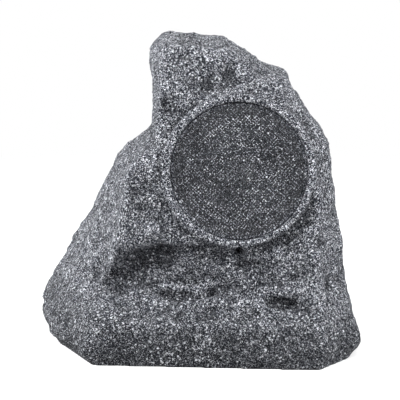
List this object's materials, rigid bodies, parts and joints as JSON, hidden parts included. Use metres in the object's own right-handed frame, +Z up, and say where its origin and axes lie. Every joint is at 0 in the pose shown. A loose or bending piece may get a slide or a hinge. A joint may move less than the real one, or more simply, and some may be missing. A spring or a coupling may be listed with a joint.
{
  "type": "rock shaped garden speaker",
  "caption": "Hollow moulded rock that hides an outdoor loudspeaker behind a round perforated grille in its leaning front face, with screw terminals in a pocket at the back.",
  "frame": {"origin": "on the ground, under the middle of the rock's overall box", "axes": "+X to the right as seen from the front, +Y from the front to the back, +Z up; the grille faces -Y and leans back"},
  "size_m": [0.3814, 0.2955, 0.36],
  "materials": {
    "rock_resin": "matt speckled granite",
    "base_plastic": "moulded black",
    "seal_rubber": "matt",
    "zinc_steel": "zinc plated",
    "grille_paint": "speckled paint",
    "frame_paint": "black powder coat",
    "cone_poly": "polypropylene",
    "surround_rubber": "satin",
    "former_film": "amber film",
    "copper_wire": "enamelled copper",
    "spider_cloth": "impregnated cloth",
    "motor_steel": "plated steel",
    "ferrite": "ground ferrite",
    "strip_board": "phenolic",
    "tin": "tinned",
    "tweeter_plastic": "black",
    "dome_silk": "coated silk",
    "board_green": "solder mask",
    "bobbin_plastic": "natural",
    "can_sleeve": "sleeve",
    "ceramic": "ceramic",
    "block_plastic": "moulded",
    "terminal_plastic": "moulded",
    "stud_brass": "brass",
    "red_plastic": "moulded",
    "black_plastic": "moulded",
    "lead_jacket": "soft jacket"
  },
  "bodies": {
    "enclosure": {"rock_shell": "rock_resin", "base_plate": "base_plastic", "base_gasket": "seal_rubber", "base_screws": "zinc_steel", "grille": "grille_paint", "woofer_gasket": "seal_rubber", "woofer_basket": "frame_paint", "woofer_screws": "zinc_steel", "woofer_surround": "surround_rubber", "spider": "spider_cloth", "top_plate": "motor_steel", "magnet": "ferrite", "pole_yoke": "motor_steel", "terminal_strip": "strip_board", "terminal_lugs": "tin", "tweeter_post": "motor_steel", "tweeter_housing": "tweeter_plastic", "tweeter_pot": "motor_steel", "tweeter_magnet": "ferrite", "tweeter_pole": "motor_steel", "tweeter_dome": "dome_silk", "tweeter_faceplate": "tweeter_plastic", "crossover_board": "board_green", "board_screws": "zinc_steel", "inductor_bobbin": "bobbin_plastic", "inductor_winding": "copper_wire", "crossover_capacitors": "can_sleeve", "crossover_resistor": "ceramic", "board_terminal": "block_plastic", "terminal_gasket": "seal_rubber", "terminal_plate": "terminal_plastic", "terminal_screws": "zinc_steel", "binding_studs": "stud_brass", "stud_nuts": "stud_brass", "red_post_cap": "red_plastic", "black_post_cap": "black_plastic", "input_lead": "lead_jacket", "woofer_lead": "lead_jacket", "tweeter_lead": "lead_jacket"},
    "diaphragm": {"woofer_cone": "cone_poly", "coil_former": "former_film", "voice_coil": "copper_wire"}
  },
  "joints": [
    {"name": "cone_travel", "type": "slide", "parent": "enclosure", "child": "diaphragm", "axis": [0, -0.9781, 0.2079], "range_m": [-0.004, 0.004], "stiffness_N_per_m": 1500, "deforming": ["woofer_surround", "spider"]}
  ]
}
